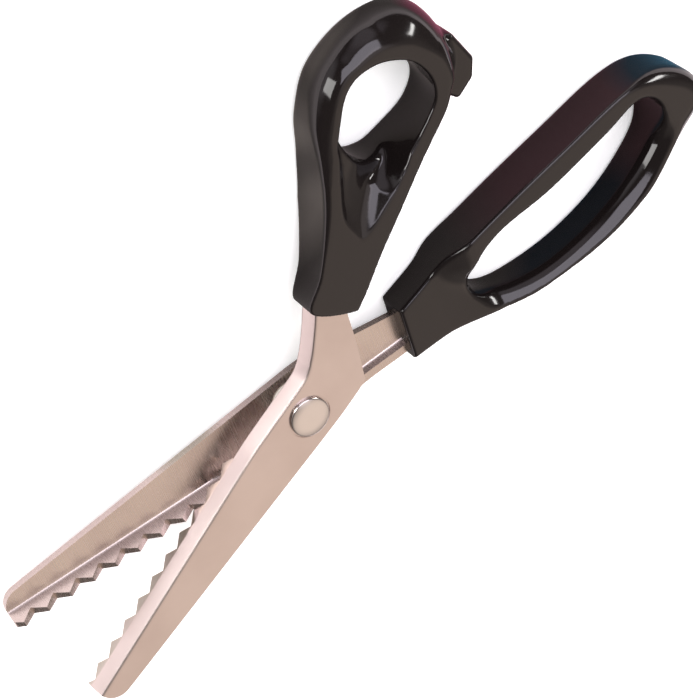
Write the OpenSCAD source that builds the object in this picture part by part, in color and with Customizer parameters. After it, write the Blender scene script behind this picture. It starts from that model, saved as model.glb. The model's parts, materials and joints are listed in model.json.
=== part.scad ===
// Pinking shears: two flanged blades with zigzag cutting teeth, moulded handles and a screw pivot.
// The origin is on the pivot axis, on the flat plane under the handles and the pivot nut.
// +X runs along the lower blade's tooth line to its tip, +Y is its cutting side and +Z is the front.

/* [Blades] */
// Thickness of the blade plates
plate_t = 2.1; // [1.8:0.1:2.2]
// Clear depth between the two plates
plate_gap = 7.2; // [7:0.1:7.4]
// Distance from the pivot axis to the blade's end, along the tooth line
blade_len = 92; // [90:0.5:93]
// Distance from the pivot axis to the outer face of the tooth line
tooth_line = 10.8; // [10.6:0.1:11.2]
// Width of the land on the flange that carries the teeth
land_w = 1.6; // [1.3:0.1:1.8]
// Angle of the spine to the tooth line
spine_angle = 7.4; // [7:0.1:7.8]
// Distance from the pivot axis to the spine, square to the tooth line
spine_side = 8.7; // [8.5:0.1:9]
// Radius of the nose between the spine and the blade's end
nose_r = 5; // [4:0.5:5.5]

/* [Teeth] */
// Distance from one tooth to the next
tooth_pitch = 6.88; // [6.5:0.02:7.2]
// Height of a tooth from root to tip
tooth_h = 2.6; // [2.2:0.1:2.8]
// Distance from the pivot axis to the outermost tooth's tip
last_tooth_r = 90.4; // [90:0.1:90.8]
// Distance from the pivot axis to the start of the teeth
first_tooth_r = 22.5; // [22:0.5:24]
// Play between meshing teeth
tooth_play = 0.05; // [0.02:0.01:0.1]

/* [Pivot] */
// Diameter of the screw's head
head_d = 11.4; // [11:0.1:12]
// Height of the screw's head above the upper plate
head_h = 1.6; // [1.2:0.1:2]
// Diameter of the screw's plain shoulder
shoulder_d = 5; // [4.6:0.1:5.4]
// Diameter of the screw's threaded end
thread_d = 4; // [3.6:0.1:4.2]
// Radial clearance between the shoulder and the upper blade
running_play = 0.05; // [0.03:0.01:0.1]
// Outside diameter of the spacing bush
bush_d = 9; // [8:0.1:10]
// Diameter of the friction washers
washer_d = 12; // [11:0.1:12.6]
// Thickness of each friction washer
washer_t = 0.5; // [0.4:0.1:0.6]
// Thickness of the lock washer under the nut
lock_washer_t = 0.5; // [0.4:0.1:0.6]
// Width across flats of the nut
nut_af = 7; // [6.5:0.5:8]
// Thickness of the nut
nut_t = 2.2; // [2:0.1:2.6]

/* [Handles] */
// Depth of the finger loop
finger_depth = 15.8; // [15:0.1:16.4]
// Depth of the thumb loop
thumb_depth = 16.4; // [16:0.1:17]
// Depth of the finger handle's socket around the lower tang
finger_socket_depth = 10.6; // [10:0.1:11]
// Height of the underside of the thumb handle's socket
thumb_socket_z = 5.8; // [5.5:0.1:6]
// Width of the bevel on the handles' edges
edge_r = 2.4; // [1.8:0.1:2.6]
// Play around each tang in its socket
tang_play = 0.03; // [0.02:0.01:0.1]
// Diameter of the locking holes in the tangs
tang_hole_d = 4; // [3:0.5:4.5]

/* [Rest position] */
// Angle between the two tooth lines
open_angle = 32.6; // [25:0.1:45]

/* [Hidden] */
$fn = 96;
far = 200;
// Heights in a blade's own frame, where the teeth mesh at z = 0 and the plate lies below
inner_z = plate_gap / 2;
outer_z = inner_z + plate_t;
plain_edge_z = -tooth_h / 2 - 0.1;
blank_z = tooth_h / 2 + 0.2;
// Height of the meshing plane above the underside of the shears
mid_z = outer_z + lock_washer_t + nut_t;
// Shallow seat that is pressed around the screw's head
seat_depth = 0.25;
seat_d = head_d + 1;
axial_play = 0.04;
// Rise of the dome on the screw's head
crown_h = 0.9;
crown_steps = 8;
outline_steps = 3;
// Where each socket's level part ends, and where its ramp has left the handle
finger_step_x = -42;
finger_ramp_x = -58.5;
thumb_step_x = -26;
thumb_ramp_x = -51.5;
// Where the thumb's scoop begins, and the angle of its floor to the front face
scoop_x = -46;
scoop_slope = 23;

// Distance from the tooth line's parallel through the pivot to the spine
function spine_y(x) = -spine_side + x * tan(spine_angle);

// Plan points of each neck, from the blade to the handle: its spine side and the outer face of its flange
lower_neck_spine = [[4, spine_y(4)], [-6, -9.3], [-14, -8.9], [-22, -7.6], [-37, -5.8]];
lower_neck_edge = [[14, 10.7], [4, 10.1], [-6, 9.2], [-14, 7.7], [-22, 6.4], [-37, 5.1]];
upper_neck_spine = [[-4, -9.1], [-12.9, -9.6], [-15.6, -9.4], [-20, -3.8], [-24.8, 2.2], [-31.5, 10.8]];
upper_neck_edge = [[14, 10.7], [4, 10.1], [-3, 9.5], [-8.5, 9.3], [-11.2, 10.2], [-15, 12], [-20, 15],
    [-26.5, 18.9]];
// Tangs, clockwise from the neck's spine side
lower_tang = [[-37, -4.8], [-50, -7.5], [-53, -5.5], [-53, -1.5], [-50, 0.5], [-37, 1.4]];
lower_tang_hole = [-45, -3];
upper_tang = [[-30.6, 12.4], [-48, 15.5], [-50, 18], [-49, 21], [-46.5, 22], [-28.2, 16.2]];
upper_tang_hole = [-41, 17];

// Control points of the handle outlines, each in its own blade's direction
finger_outer = [[-35.2, -9.6], [-46, -14.3], [-54, -19.2], [-71.6, -24.6], [-92.6, -30], [-113.7, -35],
    [-126, -34.2], [-135.6, -27.2], [-137.6, -18.4], [-127, -9.6], [-110.2, 0.4], [-93.4, 5.8],
    [-73.8, 7.7], [-60, 7.2], [-47, 6], [-34.4, 6.7]];
finger_hole = [[-56, -7], [-58.8, -13.8], [-68, -18.4], [-84.7, -21], [-104.6, -26.4], [-117.2, -30.2],
    [-123.2, -25], [-121, -15.2], [-109.8, -6], [-97, -0.1], [-82, 3.1], [-66, 2.9], [-58, -1.2]];
thumb_outer = [[-24.8, -19.2], [-34.7, -23.2], [-47.4, -30.8], [-58, -39.4], [-66.5, -47], [-77.8, -51.7],
    [-91.4, -49.6], [-102.1, -42], [-104.8, -32], [-100.5, -21.5], [-88, -15.5], [-67.5, -12.9],
    [-50, -10.6], [-34, -7], [-29.8, -8]];
thumb_hole = [[-64, -30.6], [-68, -40], [-78.4, -44.8], [-86.8, -41.7], [-92, -33.8], [-91.2, -23.6],
    [-84, -20], [-74.6, -21.8], [-67.6, -24.6]];
// A sloping scoop in the front face leads the thumb into the hole
scoop_outer = [[-46.8, -19.5], [-49, -25.4], [-57.8, -32.6], [-66, -38.6], [-76, -40], [-82, -30],
    [-76, -22], [-68.4, -17.6], [-59.3, -17], [-52, -17]];
// The angular stop lug comes close to the finger handle when the shears are closed
lug_outer = [[-89, -17.6], [-96, -24.5], [-103.4, -24], [-101.4, -13.5], [-97, -10.1], [-90.8, -10.2]];
// Heights of the lug's underside and of its face
lug_low = 0.8;
lug_high = 10;

// Triangle wave that both blades' teeth follow, as a height over the distance from the pivot axis
function tooth_z(r) = let(k = (last_tooth_r - r) / tooth_pitch)
    tooth_h * (0.5 - 2 * abs(k - round(k)));
// Distances at which the wave turns, and the start of the teeth
half_pitches = ceil(2 * (last_tooth_r - first_tooth_r) / tooth_pitch);
tooth_rs = [first_tooth_r, for (k = [half_pitches - 1:-1:-1]) last_tooth_r - k * tooth_pitch / 2];

// Closed curve through a list of points
function curve_point(a, b, c, d, t) = b + t * (c - a) / 2 + t * t * (a - 2.5 * b + 2 * c - d / 2)
    + t * t * t * (1.5 * (b - c) + (d - a) / 2);
function curve(p) = let(n = len(p)) [for (i = [0:n - 1]) for (k = [0:outline_steps - 1])
    curve_point(p[(i + n - 1) % n], p[i], p[(i + 1) % n], p[(i + 2) % n], k / outline_steps)];

// Clockwise outline moved inwards by a distance; an open one keeps its ends square
function inset(p, d, closed = true) = let(n = len(p)) [for (i = [0:n - 1])
    let(a = closed ? p[(i + n - 1) % n] : p[max(i - 1, 0)],
        b = closed ? p[(i + 1) % n] : p[min(i + 1, n - 1)],
        u = (b - a) / norm(b - a)) p[i] + d * [u.y, -u.x]];

// Outline of a blade's plate, clockwise; its cutting side ends inside the flange and rib
function plate_outline(neck_spine, neck_edge, tang) = concat(
    [[blade_len, spine_y(blade_len)]], neck_spine, tang,
    inset([for (i = [len(neck_edge) - 1:-1:0]) neck_edge[i]], 0.5 * plate_t, false),
    [[blade_len, tooth_line - 3]]);
// Outline of the plain rib along a neck, clockwise
function rib_outline(neck_edge) = let(e = concat([[24, tooth_line - 0.1]], neck_edge))
    concat(inset(e, -plate_t, false), [for (i = [len(e) - 1:-1:0]) e[i]]);

// Solid through a row of closed sections that have the same number of points
module loft(sections) {
    m = len(sections[0]);
    n = len(sections);
    sides = [for (i = [0:n - 2]) for (j = [0:m - 1]) let(k = (j + 1) % m)
        each [[i * m + j, (i + 1) * m + k, i * m + k], [i * m + j, (i + 1) * m + j, (i + 1) * m + k]]];
    first = [for (j = [0:m - 1]) j];
    last = [for (j = [m - 1:-1:0]) (n - 1) * m + j];
    polyhedron([for (s = sections) each s], concat([first], sides, [last]), convexity = 8);
}

// Slab between two heights with bevelled edges
module slab(outline, low, high) {
    function ring(d, z) = [for (p = inset(outline, d)) [p.x, p.y, z]];
    loft([ring(edge_r, high), ring(0.3 * edge_r, high - 0.3 * edge_r), ring(0, high - edge_r),
        ring(0, low + edge_r), ring(0.3 * edge_r, low + 0.3 * edge_r), ring(edge_r, low)]);
}

// Opening through a slab, with the same bevels at both ends
module opening(outline, low, high) {
    function ring(d, z) = [for (p = inset(outline, d)) [p.x, p.y, z]];
    loft([ring(-edge_r, high + 0.1), ring(-0.3 * edge_r, high - 0.3 * edge_r), ring(0, high - edge_r),
        ring(0, low + edge_r), ring(-0.3 * edge_r, low + 0.3 * edge_r), ring(-edge_r, low - 0.1)]);
}

// Removes everything above the tooth wave; side is 1 for the lower blade and -1 for the upper one
module tooth_cutter(side) {
    play = side > 0 ? 0 : tooth_play;
    rotate_extrude()
        polygon([[first_tooth_r, far / 20], for (r = tooth_rs) [r, side * tooth_z(r) - play],
            [last_tooth_r + tooth_pitch / 2, far / 20]]);
}

// Rounds the corner between the spine and the blade's end
module nose_cutter() {
    cx = blade_len - nose_r;
    cy = spine_y(cx) + nose_r / cos(spine_angle);
    difference() {
        translate([cx, cy - 4 * nose_r, -far / 2])
            cube([4 * nose_r, 4 * nose_r, far]);
        translate([cx, cy, -far / 2])
            cylinder(r = nose_r, h = far);
    }
}

// Flange with the toothed land, along the straight part of the blade
module toothed_flange() {
    root = tooth_line - 4;
    start = first_tooth_r - 3;
    translate([start, 0, 0])
        rotate([90, 0, 90])
            linear_extrude(blade_len - start)
                polygon([[tooth_line, blank_z], [tooth_line, -1.7], [tooth_line - 1.3, -outer_z + 0.8],
                    [tooth_line - 2, -outer_z], [root, -outer_z], [root, -inner_z], [root + 0.6, -inner_z],
                    [root + 1.15, -inner_z + 0.4], [tooth_line - land_w, blank_z]]);
}

// A blade in its own frame
module blade(neck_spine, neck_edge, tang, tang_hole, bore_r, side) {
    difference() {
        union() {
            translate([0, 0, -outer_z])
                linear_extrude(plate_t)
                    polygon(plate_outline(neck_spine, neck_edge, tang));
            translate([0, 0, -outer_z])
                linear_extrude(outer_z + plain_edge_z)
                    polygon(rib_outline(neck_edge));
            toothed_flange();
        }
        tooth_cutter(side);
        nose_cutter();
        // The flange is plain before the first tooth
        translate([0, 0, plain_edge_z])
            cylinder(r = first_tooth_r, h = far);
        translate([0, 0, -far / 2])
            cylinder(r = bore_r, h = far);
        translate([tang_hole.x, tang_hole.y, -far / 2])
            cylinder(d = tang_hole_d, h = far);
    }
}

// The room that a blade's neck and tang take in a handle; the moulding fills the tang's hole
module tang_room(neck_spine, neck_edge, tang, tang_hole) {
    translate([0, 0, -outer_z - tang_play])
        linear_extrude(plate_t + 2 * tang_play)
            difference() {
                polygon(inset(plate_outline(neck_spine, neck_edge, tang), -tang_play));
                translate(tang_hole)
                    circle(d = tang_hole_d - 2 * tang_play);
            }
    translate([0, 0, -outer_z])
        linear_extrude(outer_z + plain_edge_z + tang_play)
            polygon(inset(rib_outline(neck_edge), -tang_play));
}

module place_lower() {
    translate([0, 0, mid_z])
        children();
}

module place_upper() {
    translate([0, 0, mid_z])
        rotate([0, 0, open_angle])
            rotate([180, 0, 0])
                children();
}

module lower_blade() {
    color("silver")
        place_lower()
            blade(lower_neck_spine, lower_neck_edge, lower_tang, lower_tang_hole,
                thread_d / 2 + running_play, 1);
}

module upper_blade() {
    color("silver")
        place_upper()
            difference() {
                blade(upper_neck_spine, upper_neck_edge, upper_tang, upper_tang_hole,
                    shoulder_d / 2 + running_play, -1);
                translate([0, 0, -outer_z - 1])
                    cylinder(d = seat_d, h = 1 + seat_depth);
            }
}

// Removes a region given by its points seen from the side, as distance along a handle and height
module side_cut(points) {
    rotate([90, 0, 0])
        linear_extrude(far, center = true)
            polygon(points);
}

module finger_handle() {
    color("black")
        difference() {
            slab(curve(finger_outer), 0, finger_depth);
            opening(curve(finger_hole), 0, finger_depth);
            // The socket's face is lower than the loop's, with a ramp between them
            side_cut([[finger_ramp_x, finger_depth + 1], [finger_step_x, finger_socket_depth],
                [0, finger_socket_depth], [0, finger_depth + 1]]);
            place_lower()
                tang_room(lower_neck_spine, lower_neck_edge, lower_tang, lower_tang_hole);
        }
}

// Cutter for the thumb's scoop, standing on the scoop's sloping floor
module scoop() {
    translate([scoop_x, 0, thumb_depth])
        rotate([0, -scoop_slope, 0])
            linear_extrude(far / 4)
                translate([-scoop_x, 0])
                    polygon(curve(scoop_outer));
}

module thumb_handle() {
    color("black") {
        difference() {
            rotate([0, 0, open_angle])
                difference() {
                    slab(curve(thumb_outer), 0, thumb_depth);
                    opening(curve(thumb_hole), 0, thumb_depth);
                    scoop();
                    // The socket's underside is higher than the loop's, with a ramp between them
                    side_cut([[thumb_ramp_x, -1], [thumb_step_x, thumb_socket_z], [0, thumb_socket_z],
                        [0, -1]]);
                }
            place_upper()
                tang_room(upper_neck_spine, upper_neck_edge, upper_tang, upper_tang_hole);
        }
        rotate([0, 0, open_angle])
            translate([0, 0, lug_low])
                linear_extrude(lug_high - lug_low)
                    polygon(lug_outer);
    }
}

// Screw with a low domed head, a plain shoulder for the upper blade and a threaded end
module pivot_screw() {
    top = mid_z + outer_z;
    head_r = head_d / 2;
    seat = top - seat_depth + axial_play;
    crown_r = (head_r * head_r + crown_h * crown_h) / (2 * crown_h);
    color("gainsboro")
        rotate_extrude()
            polygon([[0, 0], [thread_d / 2, 0], [thread_d / 2, mid_z - inner_z],
                [shoulder_d / 2, mid_z - inner_z], [shoulder_d / 2, seat], [head_r, seat],
                for (a = [0:crown_steps]) let(r = head_r * (1 - a / crown_steps))
                    [r, top + head_h - crown_r + sqrt(crown_r * crown_r - r * r)]]);
}

module pivot_bush() {
    color("gray")
        translate([0, 0, mid_z - inner_z + washer_t])
            difference() {
                cylinder(d = bush_d, h = plate_gap - 2 * washer_t - axial_play);
                translate([0, 0, -1])
                    cylinder(r = shoulder_d / 2 + running_play, h = plate_gap + 2);
            }
}

module friction_washers() {
    color("ivory")
        for (z = [mid_z - inner_z, mid_z + inner_z - washer_t - axial_play])
            translate([0, 0, z])
                difference() {
                    cylinder(d = washer_d, h = washer_t);
                    translate([0, 0, -1])
                        cylinder(r = shoulder_d / 2 + running_play, h = washer_t + 2);
                }
}

module lock_washer() {
    color("gray")
        translate([0, 0, nut_t])
            difference() {
                cylinder(d = nut_af, h = lock_washer_t);
                translate([0, 0, -1])
                    cylinder(r = thread_d / 2 + running_play, h = lock_washer_t + 2);
            }
}

module pivot_nut() {
    color("silver")
        difference() {
            cylinder(d = nut_af / cos(30), h = nut_t, $fn = 6);
            translate([0, 0, -1])
                cylinder(r = thread_d / 2 + running_play, h = nut_t + 2);
        }
}

lower_blade();
upper_blade();
finger_handle();
thumb_handle();
pivot_screw();
pivot_bush();
friction_washers();
lock_washer();
pivot_nut();
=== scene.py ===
import json
import math

import bmesh
import bpy
import numpy as np
from mathutils import Matrix, Vector


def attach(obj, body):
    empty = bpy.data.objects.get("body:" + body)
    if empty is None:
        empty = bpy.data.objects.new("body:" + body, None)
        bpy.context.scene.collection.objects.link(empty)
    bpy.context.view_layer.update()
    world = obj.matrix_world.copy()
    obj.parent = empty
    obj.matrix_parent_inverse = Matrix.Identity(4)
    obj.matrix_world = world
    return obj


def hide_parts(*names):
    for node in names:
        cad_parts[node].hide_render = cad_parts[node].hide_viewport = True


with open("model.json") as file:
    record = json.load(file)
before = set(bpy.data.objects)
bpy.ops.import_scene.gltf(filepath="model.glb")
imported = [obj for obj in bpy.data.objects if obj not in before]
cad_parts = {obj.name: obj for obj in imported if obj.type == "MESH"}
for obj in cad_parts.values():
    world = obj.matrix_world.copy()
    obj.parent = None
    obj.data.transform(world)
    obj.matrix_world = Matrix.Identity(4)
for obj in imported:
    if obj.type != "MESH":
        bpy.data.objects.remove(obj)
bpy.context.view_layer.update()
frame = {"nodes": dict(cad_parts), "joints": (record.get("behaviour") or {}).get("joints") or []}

# All lengths below are in millimetres, in the row frame, unless a line says otherwise
MM = 0.001
MESH_Z = frame["joints"][0]["pos_m"][2] / MM     # height at which the teeth mesh
OPEN_ANGLE = math.radians(32.6)                  # rest angle between the two tooth lines
INNER_Z, OUTER_Z = 3.6, 5.7                      # plate faces, below the meshing plane
BLADE_LEN, TOOTH_LINE, NOSE_R = 92.0, 10.8, 5.0
TOOTH_PITCH, TOOTH_H, LAST_TOOTH_R, FIRST_TOOTH_R = 6.88, 2.6, 90.4, 22.5
TOOTH_PLAY, PLAIN_EDGE_Z, NECK_START = 0.05, -1.4, 19.6
SPINE_START_Y, SPINE_SLOPE = -8.7, math.radians(7.4)
LOWER_BORE_R, UPPER_BORE_R = 2.05, 2.55
HEAD_SEAT_R, HEAD_SEAT_DEPTH = 6.2, 0.25         # shallow round seat for the screw's head
ABOVE_ALL = MESH_Z + 12                          # higher than anything on the pivot axis


def spine_y(x):
    return SPINE_START_Y + x * math.tan(SPINE_SLOPE)


def upper_frame(p):
    """Points in the upper member's closed frame, turned to the rest position."""
    c, s = math.cos(OPEN_ANGLE), math.sin(OPEN_ANGLE)
    return np.stack([c * p[:, 0] - s * p[:, 1], s * p[:, 0] + c * p[:, 1], p[:, 2]], 1)


def flipped(p):
    """The upper blade is the lower one turned over about the tooth line's direction."""
    return p * np.array([1.0, -1.0, -1.0])


def make_object(name, verts, faces):
    mesh = bpy.data.meshes.new(name)
    mesh.from_pydata([tuple(v) for v in np.asarray(verts) * MM], [], faces)
    mesh.update()
    bm = bmesh.new()
    bm.from_mesh(mesh)
    bmesh.ops.recalc_face_normals(bm, faces=bm.faces)
    bm.to_mesh(mesh)
    bm.free()
    obj = bpy.data.objects.new(name, mesh)
    bpy.context.scene.collection.objects.link(obj)
    return obj


def apply_modifiers(obj):
    dg = bpy.context.evaluated_depsgraph_get()
    mesh = bpy.data.meshes.new_from_object(obj.evaluated_get(dg))
    obj.modifiers.clear()
    obj.data = mesh


def shade(obj, degrees):
    obj.data.polygons.foreach_set("use_smooth", [True] * len(obj.data.polygons))
    obj.data.set_sharp_from_angle(angle=math.radians(degrees))


def bevel(obj, width, degrees=28, segments=2):
    m = obj.modifiers.new("edges", "BEVEL")
    m.width = width * MM
    m.segments = segments
    m.limit_method = "ANGLE"
    m.angle_limit = math.radians(degrees)


def circle(radius, n):
    return [(radius * math.cos(2 * math.pi * i / n), radius * math.sin(2 * math.pi * i / n))
            for i in range(n)]


def cut_cylinder(obj, radius, low, high):
    """Cuts a round hole on the pivot axis between two heights."""
    n = 96
    verts = [(x, y, z) for z in (low, high) for x, y in circle(radius, n)]
    faces = [(i, (i + 1) % n, n + (i + 1) % n, n + i) for i in range(n)]
    faces += [tuple(range(n)), tuple(range(n, 2 * n))]
    cutter = make_object("cutter", verts, faces)
    m = obj.modifiers.new("bore", "BOOLEAN")
    m.object = cutter
    m.operation = "DIFFERENCE"
    m.solver = "EXACT"
    bpy.context.view_layer.update()
    apply_modifiers(obj)
    bpy.data.objects.remove(cutter)


def lathe(name, profile, n=128):
    """Solid of revolution about the pivot axis from (radius, height) points that start and end on it."""
    verts, rows = [], []
    for r, z in profile:
        if r < 1e-6:
            rows.append([len(verts)] * n)
            verts.append((0.0, 0.0, z))
        else:
            rows.append(list(range(len(verts), len(verts) + n)))
            verts += [(x, y, z) for x, y in circle(r, n)]
    faces = []
    for low, high in zip(rows, rows[1:]):
        for i in range(n):
            k = (i + 1) % n
            quad = [low[i], low[k], high[k], high[i]]
            faces.append(tuple(dict.fromkeys(quad)))
    return make_object(name, verts, faces)


# ---------------------------------------------------------------- blades

def tooth_z(r):
    k = (LAST_TOOTH_R - r) / TOOTH_PITCH
    return TOOTH_H * (0.5 - 2 * abs(k - round(k)))


def curve_point(a, b, c, d, t):
    """Point between b and c on a smooth curve that passes through a, b, c and d; t runs from 0 to 1."""
    square, cube = a - 2.5 * b + 2 * c - d / 2, 1.5 * (b - c) + (d - a) / 2
    return b + t * (c - a) / 2 + t * t * square + t ** 3 * cube


def open_curve(points, steps):
    """Open smooth curve through rows of numbers."""
    p = np.asarray(points, float)
    p = np.vstack([2 * p[0] - p[1], p, 2 * p[-1] - p[-2]])
    out = []
    for i in range(1, len(p) - 2):
        a, b, c, d = p[i - 1:i + 3]
        for k in range(steps):
            out.append(curve_point(a, b, c, d, k / steps))
    return np.array(out + [p[-2]])


# Flange section as (distance inside its outer face, height); the toothed or plain edge closes it
INNER_BEND = [(4.3, -3.6), (3.75, -3.58), (3.35, -3.48), (3.05, -3.28), (2.85, -3.0)]
OUTER_BEND = [(0.0, -1.55), (0.05, -1.72), (0.14, -1.92), (1.42, -5.08), (1.58, -5.36), (1.8, -5.55),
              (2.1, -5.66), (2.5, -5.7)]


def inner_offset(z):
    """How far the flange's inner face lies inside its outer face."""
    return 1.6 + (1.5 - z) * 1.25 / 4.5


def blade_mesh(name, neck, side):
    """Loft of a blade from its nose to its tang. neck holds (spine x, y, edge x, y, edge height) rows."""
    play = 0.0 if side > 0 else TOOTH_PLAY
    centre_x = BLADE_LEN - NOSE_R
    centre_y = spine_y(centre_x) + NOSE_R / math.cos(SPINE_SLOPE)
    radii = [LAST_TOOTH_R - k * TOOTH_PITCH / 2 for k in range(20)]
    radii += [math.hypot(centre_x + NOSE_R * math.sin(math.radians(a)), TOOTH_LINE) for a in range(0, 91, 9)]
    radii = sorted({round(r, 4) for r in radii if r > FIRST_TOOTH_R + 0.3} | {FIRST_TOOTH_R}, reverse=True)
    sections = []
    for r in radii:
        x = math.sqrt(r * r - TOOTH_LINE ** 2)
        inside = NOSE_R ** 2 - (x - centre_x) ** 2
        y = spine_y(x) if x <= centre_x else max(spine_y(x), centre_y - math.sqrt(max(inside, 0.0)))
        top = side * tooth_z(r) - play
        points = [(x, y, -OUTER_Z), (x, y, -INNER_Z)]
        points += [(x, TOOTH_LINE - o, z) for o, z in INNER_BEND]
        y_in = TOOTH_LINE - inner_offset(top)
        points.append((min(math.sqrt(r * r - y_in ** 2), BLADE_LEN), y_in, top))
        points.append((x, TOOTH_LINE, top))
        points += [(x, TOOTH_LINE - o, z) for o, z in OUTER_BEND]
        sections.append(points)
    start = (NECK_START, spine_y(NECK_START), NECK_START, TOOTH_LINE, PLAIN_EDGE_Z)
    rows = open_curve([start] + neck, 6)
    for i, (px, py, ex, ey, top) in enumerate(rows):
        a, b = rows[max(i - 1, 0)][2:4], rows[min(i + 1, len(rows) - 1)][2:4]
        along = (b - a) / np.linalg.norm(b - a)
        inward = np.array([-along[1], along[0]])
        if inward @ (np.array([px, py]) - np.array([ex, ey])) < 0:
            inward = -inward
        width = abs(inward @ (np.array([px, py]) - np.array([ex, ey])))
        fit = min(1.0, width / 8.0)
        points = [(px, py, -OUTER_Z), (px, py, -INNER_Z)]
        edge = np.array([ex, ey])
        points += [(*(edge + inward * o * fit), min(z, top)) for o, z in INNER_BEND]
        points.append((*(edge + inward * inner_offset(top) * fit), top))
        points.append((ex, ey, top))
        points += [(*(edge + inward * o * fit), min(z, top - 0.02 * k))
                   for k, (o, z) in enumerate(OUTER_BEND, 1)]
        sections.append(points)
    m = len(sections[0])
    verts = [v for s in sections for v in s]
    faces = [(i * m + j, i * m + (j + 1) % m, (i + 1) * m + (j + 1) % m, (i + 1) * m + j)
             for i in range(len(sections) - 1) for j in range(m)]
    faces += [tuple(range(m)), tuple(range((len(sections) - 1) * m, len(sections) * m))]
    p = np.array(verts)
    p = p if side > 0 else upper_frame(flipped(p))
    p[:, 2] += MESH_Z
    obj = make_object(name, p, faces)
    bevel(obj, 0.14)
    bpy.context.view_layer.update()
    apply_modifiers(obj)
    return obj


LOWER_NECK = [(14, spine_y(14), 14, 10.7, -1.4), (4, spine_y(4), 4, 10.1, -1.4), (-6, -9.3, -6, 9.2, -1.4),
              (-14, -8.9, -14, 7.7, -1.4), (-22, -7.6, -22, 6.4, -1.4), (-37, -5.8, -37, 5.1, -1.4),
              (-42, -5.6, -42, 3.0, -3.0), (-49, -7.0, -49, 1.0, -3.0)]
UPPER_NECK = [(13, spine_y(13), 14, 10.7, -1.4), (4, spine_y(4), 5, 10.1, -1.4), (-4, -9.1, -3, 9.5, -1.4),
              (-11.6, -9.6, -7.8, 9.3, -1.4), (-14.9, -9.5, -10.6, 9.9, -1.4),
              (-16.2, -8.4, -12.2, 10.6, -1.4), (-20, -3.8, -15, 12, -1.4), (-24.8, 2.2, -20, 15, -1.4),
              (-31.5, 10.8, -26.5, 18.9, -1.4), (-37, 13.4, -33, 19.6, -3.0), (-45, 15.4, -44, 21.4, -3.0)]

lower_blade = blade_mesh("lower_blade_body", LOWER_NECK, 1)
upper_blade = blade_mesh("upper_blade_body", UPPER_NECK, -1)
cut_cylinder(lower_blade, LOWER_BORE_R, -1, MESH_Z)
cut_cylinder(upper_blade, UPPER_BORE_R, MESH_Z, ABOVE_ALL)
cut_cylinder(upper_blade, HEAD_SEAT_R, MESH_Z + OUTER_Z - HEAD_SEAT_DEPTH, ABOVE_ALL)
for blade in (lower_blade, upper_blade):
    shade(blade, 17)

# ---------------------------------------------------------------- handles

def closed_curve(points, steps=16):
    """Closed smooth curve through points."""
    p = np.asarray(points, float)
    n = len(p)
    out = []
    for i in range(n):
        a, b, c, d = (p[(i + k) % n] for k in (-1, 0, 1, 2))
        for k in range(steps):
            out.append(curve_point(a, b, c, d, k / steps))
    return np.array(out)


def outline_distance(curve, x, y):
    """Signed distance to a closed outline, negative inside it."""
    x, y = np.asarray(x, np.float32), np.asarray(y, np.float32)
    best = np.full(x.shape, 1e9, np.float32)
    inside = np.zeros(x.shape, bool)
    for (ax, ay), (bx, by) in zip(curve, np.roll(curve, -1, 0)):
        ex, ey = bx - ax, by - ay
        t = np.clip(((x - ax) * ex + (y - ay) * ey) / (ex * ex + ey * ey), 0, 1)
        best = np.minimum(best, (x - ax - t * ex) ** 2 + (y - ay - t * ey) ** 2)
        crosses = (ay > y) != (by > y)
        if abs(ey) > 1e-9:
            inside ^= crosses & (x < ax + (y - ay) * ex / ey)
    d = np.sqrt(best)
    return np.where(inside, -d, d)


def both(a, b, r):
    """Intersection of two distance fields whose shared edge is rounded to radius r."""
    return np.minimum(-r, np.maximum(a, b)) + np.hypot(np.maximum(r + a, 0), np.maximum(r + b, 0))


def either(a, b, r):
    return -both(-a, -b, r)


def step(low, high, x):
    """0 before low, 1 after high and smooth between; low may be above high."""
    t = np.clip((x - low) / (high - low), 0, 1)
    return t * t * (3 - 2 * t)


FINGER_OUTER = closed_curve([(-35.1, -8.2), (-35.2, -9.6), (-36.6, -10.3), (-46, -14.3), (-54, -19.2),
                             (-71.6, -24.6), (-92.6, -30), (-113.7, -35), (-126, -34.2), (-135.6, -27.2),
                             (-137.6, -18.4), (-127, -9.6), (-110.2, 0.4), (-93.4, 5.8), (-73.8, 7.7),
                             (-60, 7.2), (-47, 6), (-36, 6.6), (-34.4, 6.7), (-34.5, 5.2)])
FINGER_HOLE = closed_curve([(-56, -7), (-58.8, -13.8), (-68, -18.4), (-84.7, -21), (-104.6, -26.4),
                            (-117.2, -30.2), (-123.2, -25), (-121, -15.2), (-109.8, -6), (-97, -0.1),
                            (-82, 3.1), (-66, 2.9), (-58, -1.2)])
THUMB_OUTER = closed_curve([(-24.8, -19.2), (-34.7, -23.2), (-47.4, -30.8), (-58, -39.4), (-66.5, -47),
                            (-77.8, -51.7), (-91.4, -49.6), (-102.1, -42), (-104.8, -32), (-100.5, -21.5),
                            (-88, -15.5), (-67.5, -12.9), (-50, -10.6), (-34, -7), (-29.8, -8)])
THUMB_HOLE_BACK = closed_curve([(-64, -30.6), (-68, -40), (-78.4, -44.8), (-86.8, -41.7), (-92, -33.8),
                                (-91.2, -23.6), (-84, -20), (-74.6, -21.8), (-67.6, -24.6)])
THUMB_HOLE_FRONT = closed_curve([(-64, -30.6), (-68, -40), (-78.4, -44.8), (-86.8, -41.7), (-92, -33.8),
                                 (-91.8, -26.5), (-88.2, -20.8), (-83, -18.9), (-76, -17.7), (-70, -17.8),
                                 (-65.5, -21)])
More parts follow.
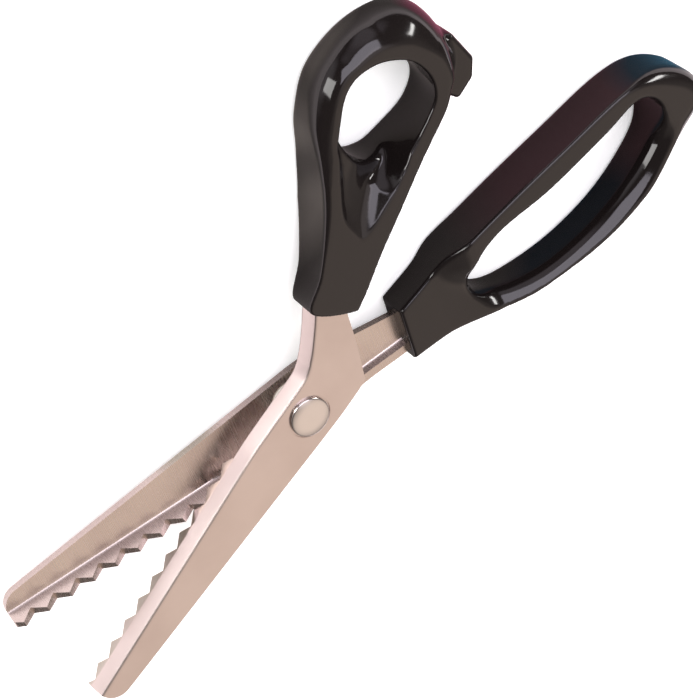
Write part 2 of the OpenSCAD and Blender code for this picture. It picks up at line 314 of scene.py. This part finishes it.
# The lug's corners are rounded by 1 mm, so its points lie 1 mm inside it
LUG = np.array([(-90.2, -17.4), (-96.2, -23.3), (-102.4, -23.1), (-100.5, -14.0), (-96.8, -11.2),
                (-91.3, -11.2)])
SCOOP = closed_curve([(-46.2, -18.4), (-47.3, -21.6), (-48.6, -25), (-52, -28.7), (-57, -32.8),
                      (-62, -36.7), (-66.3, -40.2), (-74, -42), (-80, -32), (-78, -22), (-72, -17.9),
                      (-66, -16.9), (-60, -16.6), (-53, -16.9), (-48, -17)])


def finger_flat(x, y):
    return {"out": outline_distance(FINGER_OUTER, x, y), "hole": outline_distance(FINGER_HOLE, x, y)}


def finger_field(x, y, z, flat):
    """Below zero inside the finger handle."""
    far_end = step(-106, -120, x)
    lower_bar = step(-14 - 9 * far_end, -3 - 9 * far_end, y)
    socket = step(-64, -50, x)
    ramp_end = -59 - 19 * step(-14, -2, y)
    top = 10.6 + 5.2 * step(-46, ramp_end, x)
    outer_r = 1.1 + 0.9 * lower_bar * (1 - socket) + 4.4 * step(-112, -130, x)
    f = both(flat["out"], z - top, outer_r)
    f = both(f, -z, 2.5 - 1.5 * socket)
    # The lower bar slopes down to the hole; the upper bar keeps a narrow face with a crisp edge
    slope_w = 5.2 * lower_bar * (1 - socket)
    slope = z - top + 0.85 * (slope_w - flat["hole"])
    f = both(f, np.where(slope_w > 0.01, slope * 0.76, -9.0), 1.2)
    return both(f, -flat["hole"], 1.1 + 0.9 * lower_bar * (1 - socket))


def thumb_flat(x, y):
    return {"out": outline_distance(THUMB_OUTER, x, y), "back": outline_distance(THUMB_HOLE_BACK, x, y),
            "front": outline_distance(THUMB_HOLE_FRONT, x, y), "lug": outline_distance(LUG, x, y) - 1.0,
            "scoop": outline_distance(SCOOP, x, y)}


def thumb_field(x, y, z, flat):
    """Below zero inside the thumb handle, in its closed frame."""
    ring = step(-54, -72, x)
    top = 16.4 - 2.2 * step(-50, -82, x)
    thin_rim = step(-28, -21, y) * step(-93, -86, x)
    # The front's outer edge is crisp at the socket and along the thin rim. Elsewhere it rolls over from a
    # narrow flat land around the hole
    land = 2.2 + 1.6 * step(-84, -94, x) + 1.4 * step(-34, -24, y)
    roll = ring * np.clip(flat["front"] - flat["out"] - land, 1.5, 9)
    roll += (0.6 + 1.9 * step(-30, -58, x)) * (1 - ring)
    roll = roll * (1 - thin_rim) + 0.8 * thin_rim
    radius = np.minimum(roll * (1 + 0.9 * ring * (1 - thin_rim)), 13)
    crown = top + radius - np.sqrt(radius ** 2 - (radius - roll) ** 2)
    f = both(flat["out"], z - crown, radius)
    f = both(f, z - top, 0.4)
    # The socket's underside is higher than the ring's
    bottom = 5.8 * np.clip((x + 48) / 22, 0, 1)
    f = both(f, bottom - z, 1.0 + 1.8 * ring)
    # The scoop is a valley that runs down to the thumb hole, steep on its near side
    run = np.clip(-46.4 - x, 0, 32)
    floor = np.maximum(16.4 - run * (0.22 + 0.17 * step(-33, -21, y)), 5.0)
    far_side = step(-29, -23, y)
    rise = 0.95 * far_side + 2.2 * (1 - far_side) + 1.8 * step(-60, -69, x)
    f = both(f, -0.72 * both(top + rise * flat["scoop"] - z, floor - z, 2.2), 0.45)
    # The hole's far wall leans
    hole = flat["back"] + (flat["front"] - flat["back"]) * np.clip(z / 16.4, 0, 1)
    f = both(f, -hole, 0.7 + 0.7 * step(12, 8, z))
    lug = both(flat["lug"], z - 10.0, 1.4)
    lug = both(lug, -z, 1.6)
    lug = np.maximum(lug, -hole + 1.5)
    return either(f, lug, 1.6)


def surface(name, field, flat, low, high, cell, turn):
    """Mesh of a field's zero level by surface nets; each vertex is then moved onto the level itself."""
    n = [int(math.ceil((high[i] - low[i]) / cell)) + 1 for i in range(3)]
    xs, ys, zs = (low[i] + cell * np.arange(n[i]) for i in range(3))
    gx, gy = np.meshgrid(xs, ys, indexing="ij")
    plan = flat(gx, gy)
    plan3 = {k: v[:, :, None] for k, v in plan.items()}
    values = field(gx[:, :, None], gy[:, :, None], zs[None, None, :], plan3).astype(float)
    values = np.broadcast_to(values, (len(xs), len(ys), len(zs))).copy()
    values[np.abs(values) < 1e-6] = 1e-6
    inside = values < 0
    cells = tuple(k - 1 for k in values.shape)
    total, count = np.zeros(cells + (3,)), np.zeros(cells)
    corners = [(a, b, c) for a in (0, 1) for b in (0, 1) for c in (0, 1)]
    part = lambda a, q: a[q[0]:q[0] + cells[0], q[1]:q[1] + cells[1], q[2]:q[2] + cells[2]]
    for i, p in enumerate(corners):
        for q in corners[i + 1:]:
            if sum(abs(p[k] - q[k]) for k in range(3)) != 1:
                continue
            va, vb = part(values, p), part(values, q)
            hit = part(inside, p) != part(inside, q)
            t = np.where(hit, va / np.where(hit, va - vb, 1.0), 0.0)
            for k in range(3):
                total[..., k] += np.where(hit, p[k] + t * (q[k] - p[k]), 0.0)
            count += hit
    used = count > 0
    index = np.full(cells, -1)
    index[used] = np.arange(used.sum())
    base = np.stack(np.nonzero(used), 1)
    verts = np.array(low) + cell * (base + total[used] / count[used][:, None])
    faces = []
    for axis in range(3):
        u, v = (axis + 1) % 3, (axis + 2) % 3
        a = np.moveaxis(inside, (axis, u, v), (0, 1, 2))
        ind = np.moveaxis(index, (axis, u, v), (0, 1, 2))
        change = a[:-1, 1:-1, 1:-1] != a[1:, 1:-1, 1:-1]
        i, j, k = np.nonzero(change)
        out = a[:-1, 1:-1, 1:-1][change]
        quad = np.stack([ind[i, j, k], ind[i, j + 1, k], ind[i, j + 1, k + 1], ind[i, j, k + 1]], 1)
        quad[~out] = quad[~out][:, ::-1]
        faces.append(quad)
    faces = np.vstack(faces)

    def at(p):
        return np.asarray(field(p[:, 0], p[:, 1], p[:, 2], flat(p[:, 0], p[:, 1])), float)

    h = 0.02
    for _ in range(2):
        f = at(verts)
        grad = np.stack([(at(verts + h * e) - at(verts - h * e)) / (2 * h) for e in np.eye(3)], 1)
        move = -f[:, None] * grad / np.maximum((grad ** 2).sum(1), 0.3)[:, None]
        length = np.linalg.norm(move, axis=1)
        verts = verts + move * np.minimum(1, 0.4 * cell / np.maximum(length, 1e-9))[:, None]
    # A light relaxation takes out what is left of the grid
    pairs = np.vstack([faces[:, [i, (i + 1) % 4]] for i in range(4)])
    for weight in (0.5, -0.52, 0.5, -0.52, 0.5):
        total = np.zeros_like(verts)
        degree = np.zeros(len(verts))
        for a, b in ((0, 1), (1, 0)):
            np.add.at(total, pairs[:, a], verts[pairs[:, b]])
            np.add.at(degree, pairs[:, a], 1)
        verts = verts + weight * (total / degree[:, None] - verts)
    verts[:, 2] = np.maximum(verts[:, 2], 0.0)    # nothing below the underside
    verts = upper_frame(verts) if turn else verts
    obj = make_object(name, verts, [tuple(int(i) for i in q) for q in faces])
    obj.data.polygons.foreach_set("use_smooth", [True] * len(obj.data.polygons))
    return obj


CELL = 0.5
finger_handle = surface("finger_handle_moulding", finger_field, finger_flat,
                        (-139, -37, -1), (-31, 10, 17.5), CELL, False)
thumb_handle = surface("thumb_handle_moulding", thumb_field, thumb_flat,
                       (-107, -54, -1), (-22, -4, 18), CELL, True)

# ---------------------------------------------------------------- pivot

HEAD_R, CROWN = 5.7, 0.9
HEAD_TOP = MESH_Z + OUTER_Z + 1.6
CROWN_R = (HEAD_R ** 2 + CROWN ** 2) / (2 * CROWN)
SEAT_Z = MESH_Z + OUTER_Z - 0.21                 # the head rests just above the seat's floor
THREAD_R, SHOULDER_R, SHOULDER_Z = 2.0, 2.5, MESH_Z - INNER_Z


def crown_z(r):
    """Height of the head's domed top at a radius."""
    return HEAD_TOP - CROWN_R + math.sqrt(CROWN_R ** 2 - r * r)


profile = [(0.0, 0.0), (1.75, 0.0), (THREAD_R, 0.25), (THREAD_R, SHOULDER_Z), (SHOULDER_R, SHOULDER_Z),
           (SHOULDER_R, SEAT_Z), (5.62, SEAT_Z), (HEAD_R, SEAT_Z + 0.08), (HEAD_R, crown_z(HEAD_R) - 0.22),
           (5.64, crown_z(HEAD_R) - 0.08), (5.5, crown_z(5.5) - 0.01)]
profile += [(r, crown_z(r)) for r in np.linspace(5.2, 0.95, 14)]
# A fine ring groove around the centre
profile += [(0.85, crown_z(0.85) - 0.03), (0.72, crown_z(0.7) - 0.05), (0.6, crown_z(0.6) - 0.02),
            (0.45, crown_z(0.4)), (0.0, HEAD_TOP)]
pivot_screw = lathe("pivot_screw_turned", profile)
shade(pivot_screw, 30)

# ---------------------------------------------------------------- materials

def node_material(name):
    mat = bpy.data.materials.new(name)
    mat.use_nodes = True
    tree = mat.node_tree
    return mat, tree, tree.nodes["Principled BSDF"]


def add(tree, kind, **values):
    node = tree.nodes.new(kind)
    for key, value in values.items():
        if key in node.inputs:
            node.inputs[key].default_value = value
        else:
            setattr(node, key, value)
    return node


def spread(tree, source, low, high, start=0.0, end=1.0):
    """Maps a value to a range."""
    node = add(tree, "ShaderNodeMapRange")
    node.inputs["From Min"].default_value = start
    node.inputs["From Max"].default_value = end
    node.inputs["To Min"].default_value = low
    node.inputs["To Max"].default_value = high
    tree.links.new(source, node.inputs["Value"])
    return node.outputs["Result"]


def steel(name, angle, colour, shade_colour, roughness):
    """Satin steel with fine brushed lines across a blade that points along angle."""
    mat, tree, bsdf = node_material(name)
    link = tree.links.new
    coords = add(tree, "ShaderNodeTexCoord")
    turn = add(tree, "ShaderNodeMapping")
    turn.inputs["Rotation"].default_value = (0, 0, -angle)
    link(coords.outputs["Object"], turn.inputs["Vector"])
    stretch = add(tree, "ShaderNodeMapping")
    stretch.inputs["Scale"].default_value = (2600, 60, 60)
    link(turn.outputs["Vector"], stretch.inputs["Vector"])
    lines = add(tree, "ShaderNodeTexNoise", Scale=1.0, Detail=4.0, Roughness=0.6)
    link(stretch.outputs["Vector"], lines.inputs["Vector"])
    patches = add(tree, "ShaderNodeTexNoise", Scale=55.0, Detail=3.0)
    link(coords.outputs["Object"], patches.inputs["Vector"])
    mix = add(tree, "ShaderNodeMix", data_type="RGBA")
    mix.inputs[6].default_value = (*colour, 1)
    mix.inputs[7].default_value = (*shade_colour, 1)
    link(spread(tree, patches.outputs["Fac"], 0.0, 1.0, 0.35, 0.7), mix.inputs[0])
    link(mix.outputs[2], bsdf.inputs["Base Color"])
    varied = spread(tree, lines.outputs["Fac"], roughness - 0.015, roughness + 0.02, 0.3, 0.7)
    link(varied, bsdf.inputs["Roughness"])
    bump = add(tree, "ShaderNodeBump", Strength=0.016, Distance=0.00002)
    link(lines.outputs["Fac"], bump.inputs["Height"])
    link(bump.outputs["Normal"], bsdf.inputs["Normal"])
    bsdf.inputs["Metallic"].default_value = 1.0
    bsdf.inputs["Anisotropic"].default_value = 0.35
    return mat


def plastic(name, colour, roughness, peel):
    """Moulded plastic; peel is the strength of its fine waviness."""
    mat, tree, bsdf = node_material(name)
    link = tree.links.new
    coords = add(tree, "ShaderNodeTexCoord")
    wave = add(tree, "ShaderNodeTexNoise", Scale=260.0, Detail=2.0)
    grain = add(tree, "ShaderNodeTexNoise", Scale=4200.0, Detail=2.0)
    smudge = add(tree, "ShaderNodeTexNoise", Scale=38.0, Detail=4.0)
    for node in (wave, grain, smudge):
        link(coords.outputs["Object"], node.inputs["Vector"])
    varied = spread(tree, smudge.outputs["Fac"], roughness - 0.03, roughness + 0.07, 0.35, 0.7)
    link(varied, bsdf.inputs["Roughness"])
    first = add(tree, "ShaderNodeBump", Strength=peel, Distance=0.0002)
    link(wave.outputs["Fac"], first.inputs["Height"])
    second = add(tree, "ShaderNodeBump", Strength=0.05, Distance=0.00003)
    link(grain.outputs["Fac"], second.inputs["Height"])
    link(first.outputs["Normal"], second.inputs["Normal"])
    link(second.outputs["Normal"], bsdf.inputs["Normal"])
    bsdf.inputs["Base Color"].default_value = (*colour, 1)
    return mat


def give(obj, mat):
    obj.data.materials.clear()
    obj.data.materials.append(mat)


lower_steel = steel("lower_blade_steel", 0.0, (0.60, 0.53, 0.49), (0.52, 0.45, 0.42), 0.27)
upper_steel = steel("upper_blade_steel", OPEN_ANGLE, (0.66, 0.58, 0.55), (0.60, 0.52, 0.49), 0.30)
polished = steel("polished_steel", 0.6, (0.74, 0.70, 0.68), (0.68, 0.64, 0.62), 0.16)
black = plastic("black_plastic", (0.006, 0.0045, 0.0045), 0.08, 0.05)
nylon = plastic("nylon", (0.78, 0.76, 0.70), 0.42, 0.1)

PIECES = [
    (lower_blade, "lower_member", "lower_blade", "blade_steel", lower_steel),
    (upper_blade, "upper_member", "upper_blade", "blade_steel", upper_steel),
    (finger_handle, "lower_member", "finger_handle", "handle_plastic", black),
    (thumb_handle, "upper_member", "thumb_handle", "handle_plastic", black),
    (pivot_screw, "lower_member", "pivot_screw", "pivot_steel", polished),
]
for obj, body, node, slot_name, mat in PIECES:
    give(obj, mat)
    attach(obj, body)
    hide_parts(node)

CAD_LOOKS = [("pivot_bush", polished, "pivot_steel"), ("friction_washers", nylon, "washer_plastic"),
             ("lock_washer", polished, "pivot_steel"), ("pivot_nut", polished, "pivot_steel")]
for node, mat, slot_name in CAD_LOOKS:
    obj = frame["nodes"][node]
    give(obj, mat)
    bevel(obj, 0.12, 40)

# ---------------------------------------------------------------- stage, light and camera

def ball(tree, coords, centre, radius, fade):
    """1 within a radius of a point on the floor, falling to 0; lengths in millimetres."""
    away = add(tree, "ShaderNodeVectorMath", operation="DISTANCE")
    away.inputs[1].default_value = tuple(c * MM for c in centre)
    tree.links.new(coords.outputs["Object"], away.inputs[0])
    return spread(tree, away.outputs["Value"], 1.0, 0.0, radius * MM, (radius + fade) * MM)


def stage_material():
    """Pale to the eye. Glossy rays see painted reflections on it instead: the dim, tinted colours of a room.
    """
    mat, tree, bsdf = node_material("floor_paper_and_painted_reflections")
    link = tree.links.new
    coords = add(tree, "ShaderNodeTexCoord")
    grain = add(tree, "ShaderNodeTexNoise", Scale=900.0, Detail=3.0)
    link(coords.outputs["Object"], grain.inputs["Vector"])
    colour = None
    # Painted reflections, seen only by glossy rays: centre, radius and fade in millimetres, and the colour
    # seen there: under the handles, under the thumb hole, beside the thumb handle's wall, and beside the
    # upper blade's teeth. The handles' walls and the teeth mirror these patches.
    warm_grey_reflection, green_grey_reflection = (0.62, 0.55, 0.50), (0.56, 0.56, 0.51)
    painted_reflection_tints = [((-70, -35, 0), 62, 34, (0.22, 0.20, 0.19)), ((-100, -40, 0), 26, 22, (0.34, 0.17, 0.20)),
             ((-92, -6, 0), 13, 9, (0.035, 0.075, 0.11)), ((-140, -40, 0), 14, 12, (0.045, 0.13, 0.20)),
             ((-84, -78, 0), 12, 10, (0.42, 0.13, 0.20)), ((-52, -64, 0), 12, 12, (0.50, 0.44, 0.42)),
             ((-20, -48, 0), 5, 10, warm_grey_reflection), ((-31, -70, 0), 5, 10, warm_grey_reflection),
             ((-41, -91, 0), 5, 12, warm_grey_reflection),
             ((30, -2, 0), 8, 5, green_grey_reflection), ((48, 10, 0), 8, 5, green_grey_reflection),
             ((66, 21, 0), 8, 5, green_grey_reflection), ((84, 33, 0), 8, 5, green_grey_reflection)]
    for centre, radius, fade, reflected_tint in painted_reflection_tints:
        mix = add(tree, "ShaderNodeMix", data_type="RGBA")
        link(ball(tree, coords, centre, radius, fade), mix.inputs[0])
        # Painted reflection: outside the patches, glossy rays see a pale pink-lavender floor, which the
        # blades' flanges mirror
        if colour is None:
            mix.inputs[6].default_value = (0.84, 0.76, 0.77, 1)
        else:
            link(colour, mix.inputs[6])
        mix.inputs[7].default_value = (*reflected_tint, 1)
        colour = mix.outputs[2]
    # Camera and diffuse rays see the pale paper; glossy rays see the painted reflections
    path = add(tree, "ShaderNodeLightPath")
    final = add(tree, "ShaderNodeMix", data_type="RGBA")
    final.inputs[6].default_value = (0.93, 0.925, 0.92, 1)
    link(path.outputs["Is Glossy Ray"], final.inputs[0])
    link(colour, final.inputs[7])
    link(final.outputs[2], bsdf.inputs["Base Color"])
    bsdf.inputs["Emission Color"].default_value = (1, 1, 1, 1)
    link(spread(tree, path.outputs["Is Camera Ray"], 0.0, 0.3), bsdf.inputs["Emission Strength"])
    bump = add(tree, "ShaderNodeBump", Strength=0.04, Distance=0.0001)
    link(grain.outputs["Fac"], bump.inputs["Height"])
    link(bump.outputs["Normal"], bsdf.inputs["Normal"])
    bsdf.inputs["Roughness"].default_value = 0.9
    bsdf.inputs["Specular IOR Level"].default_value = 0.1
    return mat


REACH, FLOOR_GAP = 2500, 0.0003                  # millimetres and metres
floor = make_object("floor", [(-REACH, -REACH, 0), (REACH, -REACH, 0), (REACH, REACH, 0), (-REACH, REACH, 0)],
                    [(0, 1, 2, 3)])
floor.location.z = -FLOOR_GAP
give(floor, stage_material())


def studio_world():
    """Even white light for matt things; what polished things mirror is a warm card fading into a dim room."""
    world = bpy.data.worlds.new("studio")
    bpy.context.scene.world = world
    world.use_nodes = True
    tree = world.node_tree
    link = tree.links.new
    coords = add(tree, "ShaderNodeTexCoord")
    dot = add(tree, "ShaderNodeVectorMath", operation="DOT_PRODUCT")
    dot.inputs[1].default_value = (-0.23, 0.61, 0.76)
    link(coords.outputs["Generated"], dot.inputs[0])
    ramp = add(tree, "ShaderNodeValToRGB")
    ramp.color_ramp.interpolation = "EASE"
    stops = [(0.0, (0.07, 0.06, 0.06)), (0.66, (0.13, 0.11, 0.10)), (0.88, (0.42, 0.36, 0.325)),
             (0.97, (0.99, 0.82, 0.71))]
    while len(ramp.color_ramp.elements) < len(stops):
        ramp.color_ramp.elements.new(0.5)
    for element, (at, colour) in zip(ramp.color_ramp.elements, stops):
        element.position = at
        element.color = (*colour, 1)
    link(spread(tree, dot.outputs["Value"], 0.0, 1.0, -0.6, 1.0), ramp.inputs["Fac"])
    # Pale cards: one low on the near side for the upper blade's flange, two for the lower blade's
    shown = ramp.outputs["Color"]
    for aim, start, full, colour in (((0.65, -0.76, 0.02), 0.86, 0.95, (0.74, 0.68, 0.71)),
                                     ((-0.23, -0.91, 0.33), 0.90, 0.96, (0.74, 0.66, 0.72)),
                                     ((-0.23, -0.14, 0.96), 0.92, 0.98, (1.05, 0.92, 0.90))):
        towards = add(tree, "ShaderNodeVectorMath", operation="DOT_PRODUCT")
        towards.inputs[1].default_value = aim
        link(coords.outputs["Generated"], towards.inputs[0])
        card = add(tree, "ShaderNodeMix", data_type="RGBA")
        link(spread(tree, towards.outputs["Value"], 0.0, 1.0, start, full), card.inputs[0])
        link(shown, card.inputs[6])
        card.inputs[7].default_value = (*colour, 1)
        shown = card.outputs[2]
    path = add(tree, "ShaderNodeLightPath")
    mix = add(tree, "ShaderNodeMix", data_type="RGBA")
    mix.inputs[6].default_value = (1.0, 0.99, 0.98, 1)
    link(path.outputs["Is Glossy Ray"], mix.inputs[0])
    link(shown, mix.inputs[7])
    link(mix.outputs[2], tree.nodes["Background"].inputs["Color"])
    tree.nodes["Background"].inputs["Strength"].default_value = 1.0


studio_world()


LIT_POINT = Vector((-0.02, -0.01, 0.0))          # in metres, near the middle of the shears


def soft_light(name, direction, distance, size, power, colour):
    """Area light that faces the shears from a direction; distance and size are in millimetres."""
    data = bpy.data.lights.new(name, "AREA")
    data.shape = "RECTANGLE"
    data.size, data.size_y = size[0] * MM, size[1] * MM
    data.energy = power
    data.color = colour
    obj = bpy.data.objects.new(name, data)
    bpy.context.scene.collection.objects.link(obj)
    aim = Vector(direction).normalized()
    obj.location = LIT_POINT + aim * distance * MM
    obj.rotation_mode = "QUATERNION"
    obj.rotation_quaternion = aim.to_track_quat("Z", "Y")
    return obj


soft_light("overhead", (-0.23, 0.61, 0.76), 900, (900, 700), 5, (1.0, 0.96, 0.94)).visible_glossy = False
soft_light("camera_side", (-0.12, -0.62, 0.78), 800, (600, 380), 2.6, (0.93, 0.88, 1.0))
soft_light("window", (0.60, -0.66, 0.45), 800, (240, 420), 2.2, (1.0, 0.98, 0.96))
soft_light("far_strip", (-0.85, -0.30, 0.42), 800, (90, 320), 1.6, (1.0, 0.98, 0.96))

BACK = Vector((0.2344, -0.6128, 0.7547))
UP = Vector((-0.5280, -0.7321, -0.4304))
RIGHT = UP.cross(BACK)
TARGET = Vector((-17.98, -7.37, 8.4))
CAMERA_DISTANCE = 595
camera_data = bpy.data.cameras.new("camera")
camera_data.sensor_width = 36
camera_data.lens = 116.3
camera_data.clip_start, camera_data.clip_end = 0.01, 20
camera = bpy.data.objects.new("camera", camera_data)
bpy.context.scene.collection.objects.link(camera)
turn = Matrix((RIGHT, UP, BACK)).transposed().to_4x4()
camera.matrix_world = Matrix.Translation((TARGET + CAMERA_DISTANCE * BACK) * MM) @ turn
bpy.context.scene.camera = camera
bpy.context.scene.view_settings.view_transform = "Standard"
